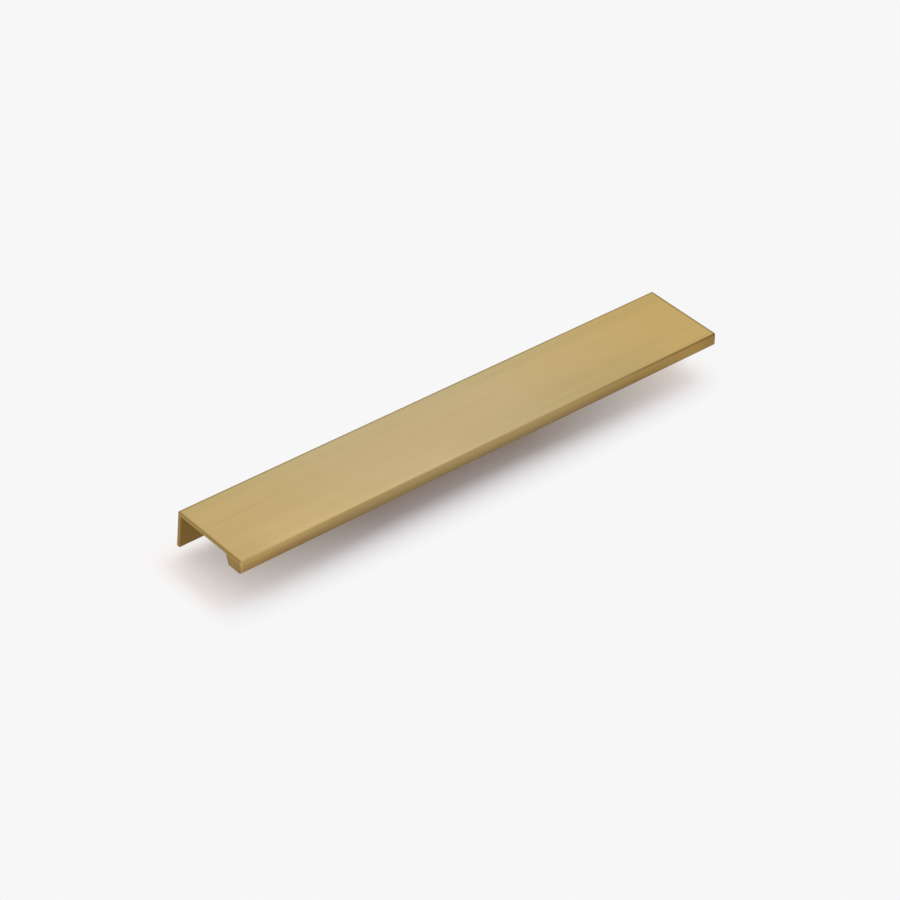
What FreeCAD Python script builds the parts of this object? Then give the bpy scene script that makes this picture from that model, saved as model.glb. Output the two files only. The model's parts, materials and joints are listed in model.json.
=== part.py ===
import FreeCAD, Part
import math
import os
from types import SimpleNamespace

import Sketcher

# Tab pull: one length of solid brass profile that hooks over the edge of a door or drawer front.
# A flat plate lies on the edge of the door. A flange hangs down behind the door and takes two
# countersunk screws. A thick lip hangs down in front of the door for the fingers.
#
# The origin is midway between the screw holes, on the middle of the flange face that bears on
# the door.
# X runs along the pull, Y from the lip to the flange, and Z up. Sizes are in millimetres.

NODE = "tab_pull"
SAME = 1e-4

# Driving sizes: alias, value, what it measures
SIZES = [
    ("pull_length", 300.0, "end to end"),
    ("pull_depth", 45.0, "front of the lip's foot to the back of the flange"),
    ("plate_thickness", 2.0, "plate over the edge of the door"),
    ("flange_thickness", 2.0, "flange behind the door"),
    ("flange_height", 19.5, "top of the plate to the foot of the flange"),
    ("lip_height", 7.0, "top of the plate to the foot of the lip"),
    ("lip_land", 9.0, "foot of the lip, front to back before it is rounded"),
    ("lip_lean", 2.2, "how far the back of the lip slopes from its foot to the plate"),
    ("front_lean", 0.8, "how far the front of the lip stands out at its foot"),
    ("front_radius", 1.0, "rounding between the plate and the front of the lip"),
    ("foot_radius", 1.5, "rounding between the front of the lip and its foot"),
    ("edge_break", 0.3, "rounding of the other outside edges"),
    ("screw_inset", 22.0, "end of the pull to the nearest screw"),
    ("screw_hole", 4.0, "diameter, clear of a 3.5 wood screw"),
    ("sink_land", 0.5, "straight wall left under each countersink"),
    ("sink_angle", 90.0, "angle of the screw head in degrees"),
]

# Sketch references: the level axis, whose start is the root point, and the points of a curve
LEVEL_AXIS = -1
ROOT = -1
START, END, CENTRE = 1, 2, 3


def fill_sheet(doc):
    """Spreadsheet with one named cell for each driving size."""
    sheet = doc.addObject("Spreadsheet::Sheet", "sizes")
    for row, (alias, value, meaning) in enumerate(SIZES, start=1):
        sheet.set(f"A{row}", alias)
        sheet.set(f"B{row}", str(value))
        sheet.set(f"C{row}", meaning)
        sheet.setAlias(f"B{row}", alias)
    doc.recompute()
    return sheet


def section_lines(sheet):
    """Y and Z of the faces of the section, worked out from the sheet."""
    back = sheet.flange_thickness
    front = back - sheet.pull_depth
    seat = (sheet.flange_height - sheet.plate_thickness) / 2
    top = seat + sheet.plate_thickness
    land_end = front + sheet.lip_land
    return SimpleNamespace(
        back=back,
        front=front,
        plate_front=front + sheet.front_lean,
        seat=seat,
        top=top,
        lip_foot=top - sheet.lip_height,
        flange_foot=-seat,
        land_end=land_end,
        lip_root=land_end + sheet.lip_lean,
    )


def new_sketch(body, name, role):
    """Empty sketch on one of the origin planes of the body."""
    plane = next(plane for plane in body.Origin.OriginFeatures if plane.Role == role)
    sketch = body.newObject("Sketcher::SketchObject", name)
    sketch.AttachmentSupport = [(plane, "")]
    sketch.MapMode = "FlatFace"
    return sketch


def drive(sketch, name, expression, kind, *references):
    """Dimension of a sketch, named and bound to the cells of the sheet."""
    index = sketch.addConstraint(Sketcher.Constraint(kind, *references))
    sketch.renameConstraint(index, name)
    sketch.setExpression(f"Constraints.{name}", expression)


def draw_section(body, sheet):
    """Section of the pull: plate, lip and flange in one closed outline."""
    sketch = new_sketch(body, "section", "YZ_Plane")
    at = section_lines(sheet)
    corners = [
        (at.back, at.top),
        (at.plate_front, at.top),
        (at.front, at.lip_foot),
        (at.land_end, at.lip_foot),
        (at.lip_root, at.seat),
        (0.0, at.seat),
        (0.0, at.flange_foot),
        (at.back, at.flange_foot),
    ]
    points = [FreeCAD.Vector(y, z, 0.0) for y, z in corners]
    ends = points[1:] + points[:1]
    lines = [sketch.addGeometry(Part.LineSegment(start, end)) for start, end in zip(points, ends)]
    plate_top, lip_face, lip_foot, lip_back, plate_under, flange_face, flange_foot, flange_back = lines

    for line, following in zip(lines, lines[1:] + lines[:1]):
        sketch.addConstraint(Sketcher.Constraint("Coincident", line, END, following, START))
    for line in (plate_top, lip_foot, plate_under, flange_foot):
        sketch.addConstraint(Sketcher.Constraint("Horizontal", line))
    for line in (flange_face, flange_back):
        sketch.addConstraint(Sketcher.Constraint("Vertical", line))
    sketch.addConstraint(Sketcher.Constraint("Symmetric", flange_face, START, flange_face, END, ROOT, START))

    drive(sketch, "depth", "sizes.pull_depth",
          "DistanceX", lip_face, END, plate_top, START, sheet.pull_depth)
    drive(sketch, "plate", "sizes.plate_thickness",
          "DistanceY", plate_under, END, plate_top, START, sheet.plate_thickness)
    drive(sketch, "flange", "sizes.flange_thickness",
          "DistanceX", flange_foot, START, flange_foot, END, sheet.flange_thickness)
    drive(sketch, "flange_drop", "sizes.flange_height",
          "DistanceY", flange_back, START, flange_back, END, sheet.flange_height)
    drive(sketch, "lip_drop", "sizes.lip_height",
          "DistanceY", lip_face, END, lip_face, START, sheet.lip_height)
    drive(sketch, "front_slope", "sizes.front_lean",
          "DistanceX", lip_face, END, lip_face, START, sheet.front_lean)
    drive(sketch, "land", "sizes.lip_land",
          "DistanceX", lip_foot, START, lip_foot, END, sheet.lip_land)
    drive(sketch, "lean", "sizes.lip_lean",
          "DistanceX", lip_back, START, lip_back, END, sheet.lip_lean)
    return sketch


def extrude_section(body, section):
    """The section drawn out along X, half to each side of the middle."""
    pad = body.newObject("PartDesign::Pad", "extrusion")
    pad.Profile = section
    pad.SideType = "Symmetric"
    pad.setExpression("Length", "sizes.pull_length")
    return pad


def place_screws(body, sheet):
    """Two circles on the back of the flange, one at each screw."""
    sketch = new_sketch(body, "screw_places", "XZ_Plane")
    sketch.setExpression("AttachmentOffset.Base.z", "-sizes.flange_thickness")
    normal = FreeCAD.Vector(0.0, 0.0, 1.0)
    radius = sheet.screw_hole / 2
    spacing = sheet.pull_length - 2 * sheet.screw_inset
    reach = FreeCAD.Vector(spacing / 2, 0.0, 0.0)
    left, right = (sketch.addGeometry(Part.Circle(place, normal, radius)) for place in (-reach, reach))
    sketch.addConstraint(Sketcher.Constraint("PointOnObject", left, CENTRE, LEVEL_AXIS))
    sketch.addConstraint(Sketcher.Constraint("Symmetric", left, CENTRE, right, CENTRE, ROOT, START))
    sketch.addConstraint(Sketcher.Constraint("Equal", left, right))
    drive(sketch, "spacing", "sizes.pull_length - 2 * sizes.screw_inset",
          "DistanceX", left, CENTRE, right, CENTRE, spacing)
    drive(sketch, "hole", "sizes.screw_hole", "Diameter", left, sheet.screw_hole)
    return sketch


def drill_screws(body, places):
    """Countersunk holes, sunk from the back of the flange so that the heads lie flush."""
    hole = body.newObject("PartDesign::Hole", "screw_holes")
    hole.Profile = places
    hole.Threaded = False
    hole.Reversed = True
    hole.DepthType = "Dimension"
    hole.DrillPoint = "Flat"
    hole.HoleCutType = "Countersink"
    hole.HoleCutCustomValues = True
    hole.setExpression("Diameter", "sizes.screw_hole")
    hole.setExpression("Depth", "2 * sizes.flange_thickness")
    hole.setExpression("HoleCutCountersinkAngle", "sizes.sink_angle")
    sink_depth = "(sizes.flange_thickness - sizes.sink_land)"
    hole.setExpression("HoleCutDiameter", f"sizes.screw_hole + 2 * {sink_depth} * tan(sizes.sink_angle / 2)")
    return hole


def check_drilling(before, after, sheet):
    """Compares the metal that the two holes took away with their worked-out volume."""
    sink = sheet.flange_thickness - sheet.sink_land
    small = sheet.screw_hole / 2
    large = small + sink * math.tan(math.radians(sheet.sink_angle / 2))
    cone = math.pi * sink * (small**2 + small * large + large**2) / 3
    wall = math.pi * small**2 * sheet.sink_land
    removed = before.Shape.Volume - after.Shape.Volume
    if abs(removed - 2 * (cone + wall)) > SAME * removed:
        raise ValueError(f"screw holes took {removed} cubic millimetres")


def edge_names(shape, chosen):
    """Names of the edges whose two ends both pass a test."""
    return [
        f"Edge{number}"
        for number, edge in enumerate(shape.Edges, start=1)
        if all(chosen(vertex.Point) for vertex in edge.Vertexes)
    ]


def long_edges(shape, places):
    """Edges that run along X at the given places in the section."""
    return [
        name
        for y, z in places
        for name in edge_names(shape, lambda point: math.hypot(point.y - y, point.z - z) < SAME)
    ]


def end_edges(shape, half_length):
    """Edges of the two cut ends."""
    return [
        name
        for end in (-half_length, half_length)
        for name in edge_names(shape, lambda point: abs(point.x - end) < SAME)
    ]


def round_edges(body, name, base, edges, alias):
    """Fillet on the named edges of the feature before it."""
    fillet = body.newObject("PartDesign::Fillet", name)
    fillet.Base = (base, edges)
    fillet.setExpression("Radius", f"sizes.{alias}")
    return fillet


def build_pull(doc, sheet):
    """The whole pull, as one body."""
    body = doc.addObject("PartDesign::Body", NODE)
    body.Label = NODE
    body.Placement = FreeCAD.Placement()
    section = draw_section(body, sheet)
    extrusion = extrude_section(body, section)
    places = place_screws(body, sheet)
    doc.recompute()

    holes = drill_screws(body, places)
    doc.recompute()
    check_drilling(extrusion, holes, sheet)

    at = section_lines(sheet)
    front_edge = long_edges(holes.Shape, [(at.plate_front, at.top)])
    front = round_edges(body, "front_rounding", holes, front_edge, "front_radius")
    doc.recompute()
    foot_edge = long_edges(front.Shape, [(at.front, at.lip_foot)])
    foot = round_edges(body, "foot_rounding", front, foot_edge, "foot_radius")
    doc.recompute()

    corners = [
        (at.back, at.top),
        (at.back, at.flange_foot),
        (0.0, at.flange_foot),
        (at.land_end, at.lip_foot),
    ]
    outside = long_edges(foot.Shape, corners) + end_edges(foot.Shape, sheet.pull_length / 2)
    round_edges(body, "edge_breaks", foot, outside, "edge_break")
    doc.recompute()
    return body


def check_document(doc):
    """Stops on an object that failed or a body that isn't one whole solid."""
    for item in doc.Objects:
        if {"Invalid", "Error"}.intersection(item.State):
            raise ValueError(f"{item.Label} failed: {item.State}")
        if item.isDerivedFrom("PartDesign::Body"):
            shape = item.Shape
            if shape.isNull() or not shape.isValid() or len(shape.Solids) != 1:
                raise ValueError(f"{item.Label} is not one valid solid")


def main():
    """Builds the pull, checks it and writes its solid."""
    doc = FreeCAD.newDocument(NODE)
    sheet = fill_sheet(doc)
    body = build_pull(doc, sheet)
    check_document(doc)
    os.makedirs("parts", exist_ok=True)
    body.Shape.exportStep(f"parts/{body.Label}.step")
    print(f"{body.Label}: {body.Shape.Volume:.0f} cubic millimetres")


main()
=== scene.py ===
"""Satin brass tab pull, dressed for its picture.

The pull is one length of profile: a flat plate, a flange that hangs down behind the door and a
thick lip that hangs down in front of it. Lengths are in metres, in the frame of the part: X runs
along the pull, Y from the lip to the flange, and Z up.
"""

import json
import logging
import math
from dataclasses import dataclass
from enum import Enum
from typing import Any, Callable, Mapping, Union

import bmesh
import bpy
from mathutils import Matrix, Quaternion, Vector

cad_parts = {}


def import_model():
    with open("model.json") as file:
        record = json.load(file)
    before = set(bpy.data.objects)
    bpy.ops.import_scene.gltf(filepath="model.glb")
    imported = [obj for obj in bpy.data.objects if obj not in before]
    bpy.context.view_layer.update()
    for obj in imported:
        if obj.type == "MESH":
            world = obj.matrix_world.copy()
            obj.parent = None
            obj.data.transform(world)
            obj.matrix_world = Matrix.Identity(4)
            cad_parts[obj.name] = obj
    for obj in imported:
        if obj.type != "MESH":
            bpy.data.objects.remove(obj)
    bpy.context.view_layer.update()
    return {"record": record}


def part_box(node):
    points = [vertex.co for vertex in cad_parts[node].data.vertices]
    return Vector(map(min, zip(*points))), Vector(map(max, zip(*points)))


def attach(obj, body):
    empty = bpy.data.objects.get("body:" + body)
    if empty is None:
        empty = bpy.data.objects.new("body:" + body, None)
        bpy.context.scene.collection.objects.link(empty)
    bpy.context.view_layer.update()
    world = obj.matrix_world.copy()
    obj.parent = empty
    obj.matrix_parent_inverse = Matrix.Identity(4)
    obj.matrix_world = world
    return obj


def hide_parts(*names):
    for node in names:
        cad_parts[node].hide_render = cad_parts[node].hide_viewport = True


LOG = logging.getLogger("tab_pull")
MM = 0.001

Colour = tuple[float, float, float, float]
Place = tuple[float, float, float]
FlatPlace = tuple[float, float]
Reach = tuple[float, float]
Operand = Union["Signal", float]

# How far a normal points one way where a face starts to count as looking that way, and where it does.
FACING: Reach = (0.5, 0.95)

# Middle of a noise that runs from 0 to 1.
NOISE_MIDDLE = 0.5

# How far a flat face's normal points along an axis, at least, where the face is picked by it.
SQUARE = 0.9


class Element(Enum):
    """What a pick in edit mode selects."""

    CORNER = "VERT"
    EDGE = "EDGE"
    FACE = "FACE"


class Signal:
    """A number that varies over a surface; sums with it add Math nodes."""

    def __init__(self, graph: "Graph", socket: bpy.types.NodeSocket) -> None:
        """Wraps an output socket of a graph."""
        self.graph = graph
        self.socket = socket

    def __add__(self, other: Operand) -> "Signal":
        """Sum of two numbers."""
        return self.graph.math("ADD", self, other)

    def __radd__(self, other: float) -> "Signal":
        """Sum with a plain number on the left."""
        return self.graph.math("ADD", other, self)

    def __sub__(self, other: Operand) -> "Signal":
        """Difference of two numbers."""
        return self.graph.math("SUBTRACT", self, other)

    def __rsub__(self, other: float) -> "Signal":
        """Difference from a plain number on the left."""
        return self.graph.math("SUBTRACT", other, self)

    def __mul__(self, other: Operand) -> "Signal":
        """Product of two numbers."""
        return self.graph.math("MULTIPLY", self, other)

    def __rmul__(self, other: float) -> "Signal":
        """Product with a plain number on the left."""
        return self.graph.math("MULTIPLY", other, self)

    def __truediv__(self, other: Operand) -> "Signal":
        """Quotient of two numbers."""
        return self.graph.math("DIVIDE", self, other)

    def __rtruediv__(self, other: float) -> "Signal":
        """Quotient with a plain number on the left."""
        return self.graph.math("DIVIDE", other, self)

    def __neg__(self) -> "Signal":
        """The number with its sign turned."""
        return self.graph.math("MULTIPLY", self, -1.0)

    def __abs__(self) -> "Signal":
        """Size of the number without its sign."""
        return self.graph.math("ABSOLUTE", self)

    def at_least(self, floor: Operand) -> "Signal":
        """The larger of two numbers."""
        return self.graph.math("MAXIMUM", self, floor)

    def root(self) -> "Signal":
        """Square root."""
        return self.graph.math("SQRT", self)

    def step(self, low: float, high: float) -> "Signal":
        """Smooth step of the number.

        Args:
            low: Number at which the step is 0.
            high: Number at which the step is 1; it may be under low.

        Returns:
            The step, from 0 to 1.
        """
        node = self.graph.add(
            "ShaderNodeMapRange",
            {"interpolation_type": "SMOOTHSTEP"},
            {"Value": self, "From Min": low, "From Max": high},
        )
        return Signal(self.graph, node.outputs["Result"])


class Graph:
    """Node tree that is filled from expressions."""

    def __init__(self, tree: bpy.types.NodeTree) -> None:
        """Empties the tree."""
        self.tree = tree
        tree.nodes.clear()

    def add(
        self,
        kind: str,
        settings: Mapping[str, Any] | None = None,
        inputs: Mapping[str | int, Any] | None = None,
    ) -> bpy.types.Node:
        """Adds a node.

        Args:
            kind: Type name of the node.
            settings: Properties of the node, set before its sockets.
            inputs: Values or links of its sockets, by name or number.

        Returns:
            The new node.
        """
        node = self.tree.nodes.new(kind)
        for name, value in (settings or {}).items():
            setattr(node, name, value)
        for key, value in (inputs or {}).items():
            source = value.socket if isinstance(value, Signal) else value
            if isinstance(source, bpy.types.NodeSocket):
                self.tree.links.new(source, node.inputs[key])
            else:
                node.inputs[key].default_value = source
        return node

    def math(self, operation: str, *operands: Operand) -> Signal:
        """Math node on one or two numbers.

        Args:
            operation: Name of the operation.
            operands: Signals or plain numbers.

        Returns:
            The result.
        """
        node = self.add("ShaderNodeMath", {"operation": operation}, dict(enumerate(operands)))
        return Signal(self, node.outputs[0])

    def place(self) -> bpy.types.NodeSocket:
        """Object coordinates, which are the frame of the part."""
        return self.add("ShaderNodeTexCoord").outputs["Object"]

    def axes(self, vector: bpy.types.NodeSocket) -> tuple[Signal, Signal, Signal]:
        """X, Y and Z of a vector."""
        node = self.add("ShaderNodeSeparateXYZ", inputs={"Vector": vector})
        return tuple(Signal(self, output) for output in node.outputs)

    def noise(
        self,
        vector: bpy.types.NodeSocket,
        grain: Place,
        detail: float = 2.0,
        shift: Place = (0.0, 0.0, 0.0),
    ) -> Signal:
        """Noise stretched to a grain.

        Args:
            vector: Coordinates that the noise is read at.
            grain: Length of one mark along X, Y and Z.
            detail: Octaves of finer noise.
            shift: Offset, so that two noises differ.

        Returns:
            Noise around 0.
        """
        scale = tuple(1.0 / size for size in grain)
        mapping = self.add("ShaderNodeMapping", inputs={"Vector": vector, "Scale": scale, "Location": shift})
        inputs = {"Vector": mapping.outputs["Vector"], "Scale": 1.0, "Detail": detail}
        return Signal(self, self.add("ShaderNodeTexNoise", inputs=inputs).outputs[0]) - NOISE_MIDDLE

    def blend(
        self,
        factor: Operand,
        first: Union[Colour, bpy.types.NodeSocket],
        second: Union[Colour, bpy.types.NodeSocket],
    ) -> bpy.types.NodeSocket:
        """Mixes two colours.

        Args:
            factor: Share of the second colour.
            first: Colour at factor 0.
            second: Colour at factor 1.

        Returns:
            The mixed colour.
        """
        node = self.add("ShaderNodeMix", {"data_type": "RGBA"}, {0: factor, 6: first, 7: second})
        return node.outputs[2]

    def multiply_tint(self, factor: Operand, colour: bpy.types.NodeSocket, tint: Colour) -> bpy.types.NodeSocket:
        """Multiplies a colour by a tint.

        Args:
            factor: Strength of the tint, from 0 to 1.
            colour: Colour that is tinted.
            tint: What it is multiplied by at full strength.

        Returns:
            The stained colour.
        """
        settings = {"data_type": "RGBA", "blend_type": "MULTIPLY"}
        return self.add("ShaderNodeMix", settings, {0: factor, 6: colour, 7: tint}).outputs[2]

    def layer(
        self,
        factor: Union[Signal, bpy.types.NodeSocket],
        first: bpy.types.Node,
        second: bpy.types.Node,
    ) -> bpy.types.Node:
        """Mixes two shaders.

        Args:
            factor: Share of the second shader.
            first: Shader at factor 0.
            second: Shader at factor 1.

        Returns:
            The mixed shader.
        """
        return self.add("ShaderNodeMixShader", inputs={0: factor, 1: first.outputs[0], 2: second.outputs[0]})


class Bench:
    """Edit mode on one piece, where parts of its mesh are picked by place."""

    def __init__(self, piece: bpy.types.Object) -> None:
        """Takes the piece that is worked on."""
        self.piece = piece

    def __enter__(self) -> "Bench":
        """Opens edit mode on the piece alone."""
        bpy.ops.object.select_all(action="DESELECT")
        self.piece.select_set(True)
        bpy.context.view_layer.objects.active = self.piece
        bpy.ops.object.mode_set(mode="EDIT")
        return self

    def __exit__(self, *problem: object) -> None:
        """Goes back to object mode."""
        bpy.ops.object.mode_set(mode="OBJECT")

    def pick(self, element: Element, wanted: Callable[[Any], bool]) -> None:
        """Selects the parts of the mesh that pass a test, and only those.

        Args:
            element: Kind of part.
            wanted: Test on a corner, an edge or a face.
        """
        bpy.ops.mesh.select_mode(type=element.value)
        bpy.ops.mesh.select_all(action="DESELECT")
        mesh = bmesh.from_edit_mesh(self.piece.data)
        mesh.normal_update()
        parts = {Element.CORNER: mesh.verts, Element.EDGE: mesh.edges, Element.FACE: mesh.faces}[element]
        for part in parts:
            if wanted(part):
                part.select_set(True)
        bmesh.update_edit_mesh(self.piece.data)

    def cut(self, place: Vector, normal: Vector) -> None:
        """Cuts every face along a plane.

        Args:
            place: Point on the plane.
            normal: Direction across the plane.
        """
        bpy.ops.mesh.select_all(action="SELECT")
        bpy.ops.mesh.bisect(plane_co=place, plane_no=normal)

    def pull_out(self, move: Vector) -> None:
        """Extrudes the picked faces by a move."""
        bpy.ops.mesh.extrude_region_move(TRANSFORM_OT_translate={"value": move})

    def round_off(self, radius: float, segments: int) -> None:
        """Bevels the picked edges to a round."""
        bpy.ops.mesh.bevel(offset_type="OFFSET", offset=radius, segments=segments, affect="EDGES")


def apply_modifier(piece: bpy.types.Object, kind: str, settings: Mapping[str, Any]) -> None:
    """Adds a modifier and applies it.

    Args:
        piece: Object that gets the modifier.
        kind: Type of the modifier.
        settings: Its properties.
    """
    bpy.ops.object.select_all(action="DESELECT")
    piece.select_set(True)
    bpy.context.view_layer.objects.active = piece
    modifier = piece.modifiers.new(kind.lower(), kind)
    for name, value in settings.items():
        setattr(modifier, name, value)
    bpy.ops.object.modifier_apply(modifier=modifier.name)


def set_in_place(name: str) -> bpy.types.Object:
    """Names the primitive just added and puts its place into its mesh.

    Args:
        name: Name of the object and its mesh.

    Returns:
        The object, at the origin.
    """
    bpy.ops.object.transform_apply(location=True, rotation=True, scale=True)
    piece = bpy.context.active_object
    piece.name = name
    piece.data.name = name
    return piece


@dataclass(frozen=True)
class Spot:
    """Place and facing of a point on a piece, beside the box of the piece."""

    x: Signal
    y: Signal
    z: Signal
    along: Signal
    across: Signal
    up: Signal
    low: Vector
    high: Vector

    @classmethod
    def on(cls, graph: Graph, low: Vector, high: Vector) -> "Spot":
        """Reads the place and the facing in a node tree.

        Args:
            graph: Node tree of a material.
            low: Low corner of the piece.
            high: High corner of the piece.

        Returns:
            The point that is shaded.
        """
        source = graph.add("ShaderNodeTexCoord")
        place, facing = (graph.axes(source.outputs[name]) for name in ("Object", "Normal"))
        return cls(*place, *facing, low, high)

    @property
    def on_top(self) -> Signal:
        """Share of a face that looks up."""
        return self.up.step(*FACING)

    @property
    def on_front(self) -> Signal:
        """Share of a face that looks to the front."""
        return (-self.across).step(*FACING)

    @property
    def on_ends(self) -> Signal:
        """Share of a face that looks along the piece, either way."""
        return abs(self.along).step(*FACING)

    def leftward(self, start: float, end: float) -> Signal:
        """Step between two shares of the way from the middle to the left end."""
        return self.x.step(start * self.low.x, end * self.low.x)

    def rightward(self, start: float, end: float) -> Signal:
        """Step between two shares of the way from the middle to the right end."""
        return self.x.step(start * self.high.x, end * self.high.x)

    def from_left(self, start: float, end: float) -> Signal:
        """Step between two distances from the left end."""
        return self.x.step(self.low.x + start, self.low.x + end)

    def from_right(self, start: float, end: float) -> Signal:
        """Step between two distances from the right end."""
        return self.x.step(self.high.x - start, self.high.x - end)

    def from_front(self, start: float, end: float) -> Signal:
        """Step between two distances from the front."""
        return self.y.step(self.low.y + start, self.low.y + end)

    def from_back(self, start: float, end: float) -> Signal:
        """Step between two distances from the back."""
        return self.y.step(self.high.y - start, self.high.y - end)

    def from_top(self, start: float, end: float) -> Signal:
        """Step between two distances below the top."""
        return self.z.step(self.high.z - start, self.high.z - end)


@dataclass(frozen=True)
class SatinBrass:
    """Brass that was brushed along its length and left satin.

    Each tint multiplies the tone of the metal where a method says. The golden tint and the brush
    streaks are tone of the metal; the lit and shaded tones and the other tints are painted light and
    shade: a paler tone on faces that look up, painted sheen and shade on the plate, painted shade on
    the ends, on the inner face of the flange, toward the foot of the lip and as dark lines on its edges
    and round the rim, and painted highlights on the top edge of the lip, near its left end and on its
    left corner. A reach holds where a tint starts and where it is full: lengths from an end or a face
    for a width, a drop or a depth, and shares of the way from the middle to an end for the rest. Apart
    from those, dim_band_depth and sheen_depth are places across the pull, lit_top_facing and the
    edge's reaches say how far the surface looks up or to the back, and streak_reach is a strength of
    the brush marks.
    """

    name: str = "satin_brass"
    # Painted light and shade: faces that look up get a paler tone, the other faces a deeper one.
    lit_top_tone: Colour = (0.388, 0.295, 0.142, 1.0)
    shaded_side_tone: Colour = (0.414, 0.290, 0.121, 1.0)
    lit_top_facing: Reach = (0.15, 0.60)

    golden_tint: Colour = (1.0, 0.91, 0.62, 1.0)
    golden_right: Reach = (0.0, 1.0)
    golden_left: Reach = (0.27, 1.27)
    golden_left_share: float = 0.8

    # Painted shade: a darker band on the plate beside the lip, right of the middle.
    painted_dim_band_tint: Colour = (0.91, 0.93, 0.92, 1.0)
    dim_band_depth: Reach = (-15 * MM, -40 * MM)
    dim_band_start: Reach = (0.0, 0.45)
    dim_band_stop: Reach = (0.9, 0.6)

    # Painted sheen: a brighter band on the plate beside the lip, left of the middle.
    painted_sheen_tint: Colour = (1.08, 1.08, 1.08, 1.0)
    sheen_depth: Reach = (-20 * MM, -40 * MM)
    sheen_start: Reach = (0.0, 0.25)
    sheen_stop: Reach = (0.95, 0.8)

    # Painted shade: a darker strip on the plate beside its back edge.
    painted_back_shade: Colour = (0.94, 0.97, 0.97, 1.0)
    back_depth: Reach = (12 * MM, 0.0)

    # Painted shade: darker ends of the lip and the flange, and the front of the lip beside its right end.
    painted_end_shade: Colour = (0.82, 0.80, 0.76, 1.0)
    end_drop: Reach = (1.5 * MM, 2.5 * MM)
    end_width: Reach = (16 * MM, 1.5 * MM)

    # Painted shade: the inner face of the flange, in the channel under the plate, made darker.
    painted_channel_shade: Colour = (0.75, 0.73, 0.56, 1.0)
    inside_depth: Reach = (3.0 * MM, 2.2 * MM)

    # Painted shade: the front of the lip darker toward its foot.
    painted_foot_shade: Colour = (0.65, 0.65, 0.66, 1.0)
    foot_depth: Reach = (4.0 * MM, 1.0 * MM)
    foot_drop: Reach = (0.8 * MM, 6.2 * MM)
    foot_right: Reach = (0.60, 0.95)
    foot_left: Reach = (0.80, 1.0)
    foot_left_share: float = 0.5

    # Painted highlight on the rounded top edge of the lip, and painted shade as a dark line on its top and
    # foot edges toward the right end.
    painted_edge_highlight: Colour = (1.25, 1.25, 1.22, 1.0)
    painted_edge_line_shade: Colour = (0.78, 0.75, 0.68, 1.0)
    edge_turned: Reach = (-0.1, -0.4)
    edge_from: Reach = (0.05, 0.45)
    edge_to: Reach = (0.99, 0.75)
    edge_under: Reach = (-0.05, -0.35)
    line_right: Reach = (0.3, 0.8)

    lip_depth: Reach = (1.6 * MM, 0.9 * MM)
    # Painted highlight: the front of the lip lighter near its left end, most at its top.
    painted_left_highlight: Colour = (1.20, 1.23, 1.28, 1.0)
    left_reach: Reach = (0.5, 0.95)
    left_drop: Reach = (4.5 * MM, 1.0 * MM)

    # Painted highlight on the upright corner of the lip at the left end.
    painted_corner_highlight: Colour = (1.14, 1.18, 1.24, 1.0)
    corner_width: Reach = (1.5 * MM, 0.7 * MM)

    # Painted shade: a dark line round the rim of the plate, along its back and its ends.
    painted_rim_shade: Colour = (0.60, 0.56, 0.42, 1.0)
    rim_width: Reach = (1.2 * MM, 0.4 * MM)
    right_rim_width: Reach = (1.6 * MM, 0.8 * MM)
    rim_drop: Reach = (0.72 * MM, 0.40 * MM)
    left_rim_share: float = 0.7

    streak_tint: Colour = (0.91, 0.90, 0.88, 1.0)
    streak_reach: Reach = (0.0, 0.5)
    brush_size: Place = (45 * MM, 0.30 * MM, 0.30 * MM)
    brush_detail: float = 3.0
    brush_shade: float = 0.5
    brush_gloss: float = 0.16
    band_size: Place = (140 * MM, 2.4 * MM, 2.4 * MM)
    band_shift: Place = (3.1, 7.7, 1.9)
    band_shade: float = 0.4
    band_gloss: float = 0.10
    roughness: float = 0.50
    bump_depth: float = 0.004 * MM
    bump_strength: float = 0.5

    def golden(self, at: Spot) -> Signal:
        """Golden tone, which grows toward both ends."""
        return at.rightward(*self.golden_right) + at.leftward(*self.golden_left) * self.golden_left_share

    def dim_band(self, at: Spot) -> Signal:
        """Painted shade: a darker band of the plate beside the lip, right of the middle."""
        beside_lip = at.y.step(*self.dim_band_depth) * at.on_top
        return beside_lip * at.rightward(*self.dim_band_start) * at.rightward(*self.dim_band_stop)

    def bright(self, at: Spot) -> Signal:
        """Painted sheen: a brighter part of the plate beside the lip, left of the middle."""
        beside_lip = at.y.step(*self.sheen_depth) * at.on_top
        return beside_lip * at.leftward(*self.sheen_start) * at.leftward(*self.sheen_stop)

    def back(self, at: Spot) -> Signal:
        """Painted shade: a darker strip of the plate beside its back edge."""
        return at.from_back(*self.back_depth) * at.on_top

    def shaded_ends(self, at: Spot) -> Signal:
        """Painted shade on the ends of the lip and the flange."""
        return at.on_ends * at.from_top(*self.end_drop)

    def inside(self, at: Spot) -> Signal:
        """Painted shade on the face of the flange that bears on the door, under the plate."""
        return at.on_front * at.from_back(*self.inside_depth)

    def foot(self, at: Spot) -> Signal:
        """Painted shade on the front of the lip toward its foot, less so at the ends."""
        ends = at.rightward(*self.foot_right) + at.leftward(*self.foot_left) * self.foot_left_share
        return at.from_front(*self.foot_depth) * at.from_top(*self.foot_drop) * (1.0 - ends)

    def edge(self, at: Spot) -> Signal:
        """Rounded edge between the plate and the lip."""
        return at.up.step(*self.edge_from) * at.up.step(*self.edge_to) * at.across.step(*self.edge_turned)

    def foot_edge(self, at: Spot) -> Signal:
        """Rounded edge at the foot of the lip."""
        return at.up.step(*self.edge_under) * at.across.step(*self.edge_turned)

    def lip(self, at: Spot) -> Signal:
        """Front of the lip."""
        return at.from_front(*self.lip_depth)

    def left(self, at: Spot) -> Signal:
        """Painted highlight on the front of the lip near the left end, most at its top."""
        return self.lip(at) * at.leftward(*self.left_reach) * at.from_top(*self.left_drop)

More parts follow.
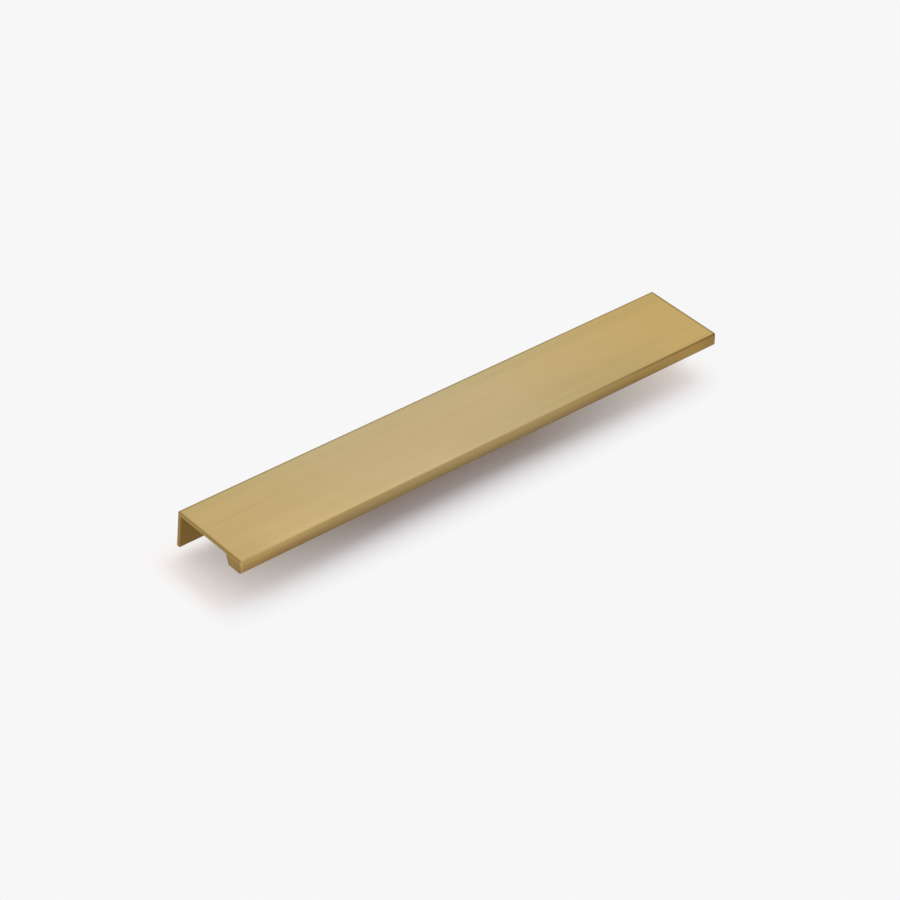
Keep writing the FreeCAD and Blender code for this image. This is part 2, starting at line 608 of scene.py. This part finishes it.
    def corner(self, at: Spot) -> Signal:
        """Painted highlight on the upright corner of the lip at the left end."""
        return self.lip(at) * at.from_left(*self.corner_width)

    def right_end_shade(self, at: Spot) -> Signal:
        """Painted shade on the front of the lip beside its right end."""
        return self.lip(at) * at.from_right(*self.end_width)

    def rim(self, at: Spot) -> Signal:
        """Painted shade as a dark line round the rim of the plate, along its back and its ends.

        Args:
            at: The point that is shaded.

        Returns:
            Share of the rim, from 0 to 1.
        """
        left = at.from_left(*self.rim_width) * self.left_rim_share
        right = at.from_right(*self.right_rim_width)
        back = at.from_back(*self.rim_width)
        return left.at_least(right).at_least(back) * at.from_top(*self.rim_drop)

    def tone(self, graph: Graph, low: Vector, high: Vector) -> bpy.types.NodeSocket:
        """Colour of the metal before it is brushed, with light and shade painted on it.

        Args:
            graph: Node tree of the material.
            low: Low corner of the pull.
            high: High corner of the pull.

        Returns:
            The colour.
        """
        at = Spot.on(graph, low, high)
        right = at.rightward(*self.line_right)
        edge = self.edge(at)
        # Painted light and shade: paler tone on faces that look up, deeper tone on the rest.
        colour = graph.blend(at.up.step(*self.lit_top_facing), self.shaded_side_tone, self.lit_top_tone)
        # The golden tint is tone of the metal; the other tints paint light and shade.
        tints_and_painted_light = (
            (self.golden(at), self.golden_tint),
            (self.dim_band(at), self.painted_dim_band_tint),
            (self.bright(at), self.painted_sheen_tint),
            (self.back(at), self.painted_back_shade),
            (self.shaded_ends(at), self.painted_end_shade),
            (self.inside(at), self.painted_channel_shade),
            (self.foot(at), self.painted_foot_shade),
            # Painted highlight on the lip's top edge, and a painted dark line on its edges toward the right
            # end.
            (edge * (1.0 - right), self.painted_edge_highlight),
            ((edge + self.foot_edge(at)) * right, self.painted_edge_line_shade),
            (self.left(at), self.painted_left_highlight),
            (self.corner(at), self.painted_corner_highlight),
            # Painted shade on the front of the lip at its right end.
            (self.right_end_shade(at), self.painted_end_shade),
            (self.rim(at), self.painted_rim_shade),
        )
        for where, tint in tints_and_painted_light:
            colour = graph.multiply_tint(where, colour, tint)
        return colour

    def material(self, low: Vector, high: Vector) -> bpy.types.Material:
        """Makes the material.

        Args:
            low: Low corner of the pull.
            high: High corner of the pull.

        Returns:
            The material, on the coordinates of the part.
        """
        material = bpy.data.materials.new(self.name)
        material.use_nodes = True
        graph = Graph(material.node_tree)
        place = graph.place()

        brush = graph.noise(place, self.brush_size, detail=self.brush_detail)
        band = graph.noise(place, self.band_size, shift=self.band_shift)
        streak = brush * self.brush_shade + band * self.band_shade
        colour = graph.multiply_tint(streak.step(*self.streak_reach), self.tone(graph, low, high), self.streak_tint)
        roughness = self.roughness + brush * self.brush_gloss + band * self.band_gloss

        bump = graph.add(
            "ShaderNodeBump",
            inputs={"Strength": self.bump_strength, "Distance": self.bump_depth, "Height": brush},
        )
        shader = graph.add(
            "ShaderNodeBsdfPrincipled",
            inputs={
                "Base Color": colour,
                "Metallic": 1.0,
                "Roughness": roughness,
                "Normal": bump.outputs["Normal"],
            },
        )
        graph.add("ShaderNodeOutputMaterial", inputs={"Surface": shader.outputs["BSDF"]})
        return material


@dataclass(frozen=True)
class ScrewHole:
    """Countersunk screw hole through the flange, sunk from behind."""

    x: float
    radius: float
    face: float
    back: float
    land: float
    overrun: float = 1.0 * MM
    sides: int = 96

    def cutter(self) -> bpy.types.Object:
        """Models the metal that the drill takes away: a straight wall, then a cone of 90 degrees.

        Returns:
            Closed cutter that runs past both faces of the flange.
        """
        start = self.face - self.overrun
        wall_end = self.face + self.land
        bpy.ops.object.select_all(action="DESELECT")
        bpy.ops.mesh.primitive_cylinder_add(
            vertices=self.sides,
            radius=self.radius,
            depth=wall_end - start,
            location=(self.x, (start + wall_end) / 2, 0.0),
            rotation=(math.radians(90), 0.0, 0.0),
        )
        tool = set_in_place("screw_cutter")
        rise = self.back + self.overrun - wall_end
        spread = 1.0 + rise / self.radius
        with Bench(tool) as bench:
            bench.pick(Element.FACE, lambda face: face.normal.y > SQUARE)
            bench.pull_out(Vector((0.0, rise, 0.0)))
            bpy.ops.transform.resize(value=(spread, 1.0, spread), center_override=(self.x, self.back, 0.0))
        return tool


@dataclass
class TabPull:
    """The pull: plate, lip and flange in one piece of metal."""

    low: Vector
    high: Vector
    seat: float
    face: float
    screw_spacing: float
    screw_radius: float
    pull_depth: float = 45.0 * MM
    lip_height: float = 7.0 * MM
    lip_land: float = 9.0 * MM
    lip_lean: float = 2.2 * MM
    front_lean: float = 0.8 * MM
    front_radius: float = 1.0 * MM
    foot_radius: float = 1.5 * MM
    edge_break: float = 0.3 * MM
    sink_land: float = 0.5 * MM
    front_segments: int = 10
    break_segments: int = 6
    sharp_angle: float = math.radians(40)
    smooth_angle: float = math.radians(35)
    near: float = 0.01 * MM
    name: str = "brass_pull"
    node: str = "tab_pull"
    body: str = "root"

    @classmethod
    def from_frame(cls, record: Mapping[str, Any]) -> "TabPull":
        """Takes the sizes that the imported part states.

        Args:
            record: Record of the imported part.

        Returns:
            The pull at the size of its solid.
        """
        mounts = {mount["name"]: mount for mount in record["mounts"]}
        screws = mounts["screw_holes"]["dims"]
        low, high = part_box(cls.node)
        return cls(
            low=low,
            high=high,
            seat=mounts["door_edge_seat"]["pos_m"][2],
            face=mounts["door_back_seat"]["pos_m"][1],
            screw_spacing=screws["spacing_x_mm"] * MM,
            screw_radius=screws["hole_r_mm"] * MM,
        )

    @property
    def front(self) -> float:
        """Front of the lip's foot, before it is rounded."""
        return self.high.y - self.pull_depth

    @property
    def lip_foot(self) -> float:
        """Height of the foot of the lip."""
        return self.high.z - self.lip_height

    @property
    def lip_root(self) -> float:
        """Where the back of the lip meets the plate."""
        return self.front + self.lip_land + self.lip_lean

    def plate(self) -> bpy.types.Object:
        """Adds the plate as a block, at its size and place.

        Returns:
            The block.
        """
        low = Vector((self.low.x, self.front, self.seat))
        bpy.ops.object.select_all(action="DESELECT")
        bpy.ops.mesh.primitive_cube_add(size=1.0, location=(low + self.high) / 2, scale=self.high - low)
        return set_in_place(self.name)

    def under(self, start: float, end: float) -> Callable[[bmesh.types.BMFace], bool]:
        """Test for the faces under the plate between two lines.

        Args:
            start: Y of the front line.
            end: Y of the back line.

        Returns:
            The test.
        """

        def wanted(face: bmesh.types.BMFace) -> bool:
            """Whether a face looks down from between the lines."""
            return face.normal.z < -SQUARE and start < face.calc_center_median().y < end

        return wanted

    def on_line(self, y: float, z: float) -> Callable[[bmesh.types.BMVert], bool]:
        """Test for the corners on a line along the pull.

        Args:
            y: Y of the line.
            z: Z of the line.

        Returns:
            The test.
        """
        return lambda corner: math.hypot(corner.co.y - y, corner.co.z - z) < self.near

    def drop_edges(self, bench: Bench) -> None:
        """Draws the flange and the lip down from the plate and slopes the lip.

        Args:
            bench: Edit mode on the plate.
        """
        across = Vector((0.0, 1.0, 0.0))
        for line in (self.face, self.lip_root):
            bench.cut(Vector((0.0, line, 0.0)), across)
        bench.pick(Element.FACE, self.under(self.face, self.high.y))
        bench.pull_out(Vector((0.0, 0.0, self.low.z - self.seat)))
        bench.pick(Element.FACE, self.under(self.front, self.lip_root))
        bench.pull_out(Vector((0.0, 0.0, self.lip_foot - self.seat)))
        bench.pick(Element.CORNER, self.on_line(self.lip_root, self.lip_foot))
        bpy.ops.transform.translate(value=(0.0, -self.lip_lean, 0.0))
        for level in (self.seat, self.high.z):
            rise = (level - self.lip_foot) / self.lip_height
            bench.pick(Element.CORNER, self.on_line(self.front, level))
            bpy.ops.transform.translate(value=(0.0, rise * self.front_lean, 0.0))

    def round_edges(self, bench: Bench) -> None:
        """Rounds the top and the foot of the lip, then breaks every other outside edge.

        Args:
            bench: Edit mode on the finished section.
        """
        slope = math.atan2(self.front_lean, self.lip_height)
        top = (self.front + self.front_lean, self.high.z, self.front_radius, -slope)
        foot = (self.front, self.lip_foot, self.foot_radius, slope)
        for y, z, radius, excess in (top, foot):
            on_line = self.on_line(y, z)
            bench.pick(Element.EDGE, lambda edge: all(on_line(corner) for corner in edge.verts))
            bench.round_off(radius * math.tan(math.radians(45) + excess / 2), self.front_segments)

        def sharp_outside(edge: bmesh.types.BMEdge) -> bool:
            """Whether two faces meet in a sharp outside corner."""
            return edge.calc_face_angle_signed(0.0) > self.sharp_angle

        bench.pick(Element.EDGE, sharp_outside)
        bench.round_off(self.edge_break, self.break_segments)

    def drill(self, piece: bpy.types.Object) -> None:
        """Cuts the two screw holes.

        Args:
            piece: The pull.
        """
        for x in (-self.screw_spacing / 2, self.screw_spacing / 2):
            hole = ScrewHole(x, self.screw_radius, self.face, self.high.y, self.sink_land)
            tool = hole.cutter()
            apply_modifier(piece, "BOOLEAN", {"operation": "DIFFERENCE", "solver": "EXACT", "object": tool})
            bpy.data.meshes.remove(tool.data)

    def build(self) -> bpy.types.Object:
        """Models the pull.

        Returns:
            The finished mesh object.
        """
        piece = self.plate()
        with Bench(piece) as bench:
            self.drop_edges(bench)
            self.round_edges(bench)
        self.drill(piece)
        bpy.ops.object.shade_smooth_by_angle(angle=self.smooth_angle)
        apply_modifier(piece, "WEIGHTED_NORMAL", {"keep_sharp": True})
        return piece

    def dress(self, piece: bpy.types.Object, finish: SatinBrass) -> None:
        """Gives the pull its finish and its place in the part.

        Args:
            piece: The finished mesh object.
            finish: Its metal.
        """
        piece.data.materials.clear()
        piece.data.materials.append(finish.material(self.low, self.high))
        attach(piece, self.body)
        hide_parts(self.node)


@dataclass
class Studio:
    """Pale table under a soft sky that is brightest behind the pull.

    The shade is an oval round the middle of the pull, and the places of the painted warm bounce light are in
    the frame of the part.
    """

    low: Vector
    high: Vector
    lift: float = 4.5 * MM
    table_radius: float = 6.0
    table_sides: int = 128
    wall_height: float = 1.2
    paper: Colour = (0.931, 0.931, 0.931, 1.0)
    shaded_paper: Colour = (0.905, 0.897, 0.968, 1.0)
    # Painted light: warm bounce from the brass, painted into the paper's colour close to the pull.
    painted_bounce_paper: Colour = (0.990, 0.850, 0.740, 1.0)
    warm_near: Reach = (-56 * MM, -27 * MM)
    warm_left: Reach = (-95 * MM, -140 * MM)
    warm_right: Reach = (80 * MM, 125 * MM)
    middle_bounce: float = 0.35
    left_bounce: float = 0.35
    right_bounce: float = 0.65
    shade_offset: FlatPlace = (-10.2 * MM, -2.0 * MM)
    shade_half: FlatPlace = (45.8 * MM, 14.2 * MM)
    shade_fade: FlatPlace = (279 * MM, 27.3 * MM)
    shade_near: float = -0.21
    shade_left: Reach = (-20.2 * MM, -5.4 * MM)
    shade_right: Reach = (10.3 * MM, -15.2 * MM)
    bright_side: Place = (0.45, 0.75, 0.48)
    bright_sky: Colour = (1.795, 1.827, 1.920, 1.0)
    dim_sky: Colour = (0.275, 0.215, 0.185, 1.0)

    def table(self) -> bpy.types.Object:
        """Lays the table below the pull, with a low wall round it.

        Returns:
            The table top.
        """
        level = self.low.z - self.lift
        bpy.ops.object.select_all(action="DESELECT")
        bpy.ops.mesh.primitive_circle_add(
            vertices=self.table_sides,
            radius=self.table_radius,
            fill_type="NGON",
            location=(0.0, 0.0, level),
        )
        top = set_in_place("table_top")
        with Bench(top) as bench:
            bench.pick(Element.EDGE, lambda edge: edge.is_boundary)
            bench.pull_out(Vector((0.0, 0.0, self.wall_height)))
            bpy.ops.mesh.select_all(action="SELECT")
            bpy.ops.mesh.normals_make_consistent(inside=True)
        top.data.materials.append(self.table_material())
        return top

    def shade(self, x: Signal, y: Signal) -> Signal:
        """Oval on the paper that takes the shadow, cut off softly past the ends of the pull.

        Args:
            x: Place along the pull.
            y: Place across the pull.

        Returns:
            Share of the oval, which is 0 where the paper is evenly lit.
        """
        middle = (self.low + self.high) / 2
        beside, before = (
            (abs(place - (centre + offset)) - half).at_least(0.0) / fade
            for place, centre, offset, half, fade in zip(
                (x, y), middle, self.shade_offset, self.shade_half, self.shade_fade
            )
        )
        oval = (beside * beside + before * before).root().step(1.0, self.shade_near)
        left, right = (
            x.step(*(end + reach for reach in reaches))
            for end, reaches in ((self.low.x, self.shade_left), (self.high.x, self.shade_right))
        )
        return oval * left * right

    def painted_bounce_glow(self, x: Signal, y: Signal) -> Signal:
        """Painted warm bounce light on the paper close to the pull, most at its right end."""
        ends = x.step(*self.warm_left) * self.left_bounce + x.step(*self.warm_right) * self.right_bounce
        return y.step(*self.warm_near) * (self.middle_bounce + ends)

    def table_material(self) -> bpy.types.Material:
        """Pale paper that takes the shadow near the pull, with warm bounce light painted close to it, and is
        evenly lit further away.

        Returns:
            The material of the table.
        """
        material = bpy.data.materials.new("pale_paper")
        material.use_nodes = True
        graph = Graph(material.node_tree)
        x, y, _ = graph.axes(graph.place())
        cool, warm = (
            graph.add("ShaderNodeBsdfDiffuse", inputs={"Color": colour})
            for colour in (self.shaded_paper, self.painted_bounce_paper)
        )
        even = graph.add("ShaderNodeEmission", inputs={"Color": self.paper, "Strength": 1.0})
        clear = graph.add("ShaderNodeBsdfTransparent")
        from_below = graph.add("ShaderNodeNewGeometry").outputs["Backfacing"]
        # Painted warm bounce light on the matt paper near the pull.
        matt = graph.layer(self.painted_bounce_glow(x, y), cool, warm)
        paper = graph.layer(self.shade(x, y), even, matt)
        surface = graph.layer(from_below, paper, clear)
        graph.add("ShaderNodeOutputMaterial", inputs={"Surface": surface.outputs[0]})
        return material

    def sky(self) -> None:
        """Lights the pull from all round, most from behind and above and least from the front."""
        world = bpy.data.worlds.new("soft_sky")
        world.use_nodes = True
        bpy.context.scene.world = world
        graph = Graph(world.node_tree)
        direction = graph.add("ShaderNodeTexCoord").outputs["Generated"]
        toward = graph.add(
            "ShaderNodeVectorMath",
            {"operation": "DOT_PRODUCT"},
            {0: direction, 1: Vector(self.bright_side).normalized()},
        )
        share = (Signal(graph, toward.outputs["Value"]) + 1.0) / 2.0
        dim, bright = (
            graph.add("ShaderNodeBackground", inputs={"Color": colour, "Strength": 1.0})
            for colour in (self.dim_sky, self.bright_sky)
        )
        light = graph.layer(share * share, dim, bright)
        graph.add("ShaderNodeOutputWorld", inputs={"Surface": light.outputs[0]})

    def build(self) -> None:
        """Sets up the table and the sky."""
        self.table()
        self.sky()
        bpy.context.scene.view_settings.view_transform = "Standard"


@dataclass
class PhotoCamera:
    """Camera at the place that the picture was taken from, with its angles in degrees."""

    level: float
    aim: FlatPlace = (-20.604 * MM, -35.784 * MM)
    distance: float = 1.45378
    turn: float = -45.7306
    height: float = 36.9711
    roll: float = 6.0563
    lens: float = 125.9815

    def build(self) -> bpy.types.Object:
        """Makes the camera and gives it to the scene.

        Returns:
            The camera.
        """
        turn = math.radians(self.turn)
        height = math.radians(self.height)
        flat = math.cos(height)
        back = Vector((math.sin(turn) * flat, -math.cos(turn) * flat, math.sin(height)))
        data = bpy.data.cameras.new("camera")
        data.lens = self.lens
        camera = bpy.data.objects.new("camera", data)
        bpy.context.scene.collection.objects.link(camera)
        camera.location = Vector((*self.aim, self.level)) + back * self.distance
        upright = (-back).to_track_quat("-Z", "Y")
        camera.rotation_mode = "QUATERNION"
        camera.rotation_quaternion = upright @ Quaternion((0.0, 0.0, 1.0), math.radians(self.roll))
        bpy.context.scene.camera = camera
        return camera


def main() -> None:
    """Builds the pull, its studio and its camera."""
    logging.basicConfig(level=logging.INFO, format="%(name)s: %(message)s")
    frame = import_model()

    pull = TabPull.from_frame(frame["record"])
    piece = pull.build()
    pull.dress(piece, SatinBrass())
    LOG.info("%s has %d faces", piece.name, len(piece.data.polygons))

    Studio(pull.low, pull.high).build()
    PhotoCamera(level=pull.high.z).build()


if __name__ == "__main__":
    main()
